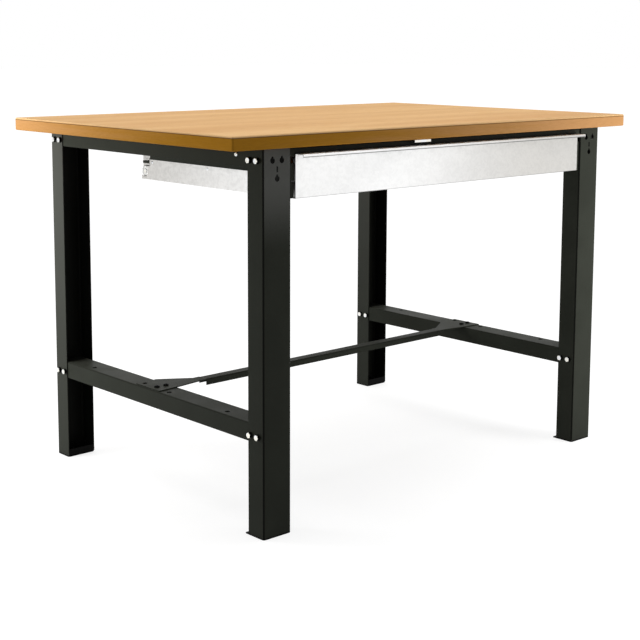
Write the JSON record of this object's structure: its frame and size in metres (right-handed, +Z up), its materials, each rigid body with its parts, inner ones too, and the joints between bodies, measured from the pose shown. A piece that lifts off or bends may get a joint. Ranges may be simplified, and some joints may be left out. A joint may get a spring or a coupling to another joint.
{
  "type": "work table",
  "caption": "Work table with a thick wooden board, bolted folded-steel legs and rails, a low brace and a wide sheet-metal drawer on roller runners.",
  "frame": {"origin": "on the floor, under the centre of the whole object's box", "axes": "+X along the table's length, -Y towards the drawer's front, +Z up"},
  "size_m": [1.3, 0.85, 0.85],
  "materials": {
    "board_wood": "satin lacquer",
    "frame_paint": "satin powder coat",
    "galvanised_sheet": "spangled",
    "zinc_bright": "bright",
    "black_screw": "black oxide",
    "foot_plastic": "matte",
    "stop_rubber": "matte",
    "roller_nylon": "satin"
  },
  "bodies": {
    "frame": {"top_board": "board_wood", "leg_front_left": "frame_paint", "leg_front_right": "frame_paint", "leg_back_left": "frame_paint", "leg_back_right": "frame_paint", "foot_front_left": "foot_plastic", "foot_front_right": "foot_plastic", "foot_back_left": "foot_plastic", "foot_back_right": "foot_plastic", "end_rail_left": "frame_paint", "end_rail_right": "frame_paint", "stretcher_left": "frame_paint", "stretcher_right": "frame_paint", "front_top_rail": "frame_paint", "back_top_rail": "frame_paint", "brace": "frame_paint", "hanger_left": "frame_paint", "hanger_right": "frame_paint", "front_bracket_left": "frame_paint", "front_bracket_right": "frame_paint", "runner_left": "galvanised_sheet", "runner_right": "galvanised_sheet", "runner_track_left": "galvanised_sheet", "runner_track_right": "galvanised_sheet", "runner_guard_left": "galvanised_sheet", "runner_guard_right": "galvanised_sheet", "stop_left": "stop_rubber", "stop_right": "stop_rubber", "front_pin_left": "zinc_bright", "front_pin_right": "zinc_bright", "board_clip": "zinc_bright", "joint_bolts": "zinc_bright", "joint_nuts": "zinc_bright", "brace_screws": "black_screw", "brace_nuts": "zinc_bright", "top_rail_bolts": "black_screw", "top_rail_nuts": "black_screw", "bracket_screws": "black_screw", "runner_rivets": "zinc_bright", "board_screws": "zinc_bright", "board_washers": "zinc_bright", "rail_side_screws": "zinc_bright"},
    "drawer": {"drawer_front": "galvanised_sheet", "drawer_side_left": "galvanised_sheet", "drawer_side_right": "galvanised_sheet", "drawer_back": "galvanised_sheet", "drawer_bottom": "galvanised_sheet", "drawer_rail_left": "galvanised_sheet", "drawer_rail_right": "galvanised_sheet", "drawer_rail_tab_left": "galvanised_sheet", "drawer_rail_tab_right": "galvanised_sheet", "drawer_rivets": "zinc_bright", "rear_pin_left": "zinc_bright", "rear_pin_right": "zinc_bright"},
    "front_wheel_left": {"front_roller_left": "roller_nylon"},
    "front_wheel_right": {"front_roller_right": "roller_nylon"},
    "rear_wheel_left": {"rear_roller_left": "roller_nylon"},
    "rear_wheel_right": {"rear_roller_right": "roller_nylon"}
  },
  "joints": [
    {"name": "drawer_slide", "type": "slide", "parent": "frame", "child": "drawer", "axis": [0, -1, 0], "range_m": [0, 0.4]},
    {"name": "front_roller_left_spin", "type": "hinge", "parent": "frame", "child": "front_wheel_left", "pos_m": [-0.4768, -0.377, 0.735], "axis": [1, 0, 0], "continuous": true},
    {"name": "front_roller_right_spin", "type": "hinge", "parent": "frame", "child": "front_wheel_right", "pos_m": [0.4768, -0.377, 0.735], "axis": [1, 0, 0], "continuous": true},
    {"name": "rear_roller_left_spin", "type": "hinge", "parent": "drawer", "child": "rear_wheel_left", "pos_m": [-0.4768, 0.125, 0.733], "axis": [1, 0, 0], "continuous": true},
    {"name": "rear_roller_right_spin", "type": "hinge", "parent": "drawer", "child": "rear_wheel_right", "pos_m": [0.4768, 0.125, 0.733], "axis": [1, 0, 0], "continuous": true}
  ],
  "couplings": [
    {"joint": "front_roller_left_spin", "follows": "drawer_slide", "rad_per_m": 80},
    {"joint": "front_roller_right_spin", "follows": "drawer_slide", "rad_per_m": 80},
    {"joint": "rear_roller_left_spin", "follows": "drawer_slide", "rad_per_m": 80},
    {"joint": "rear_roller_right_spin", "follows": "drawer_slide", "rad_per_m": 80}
  ]
}
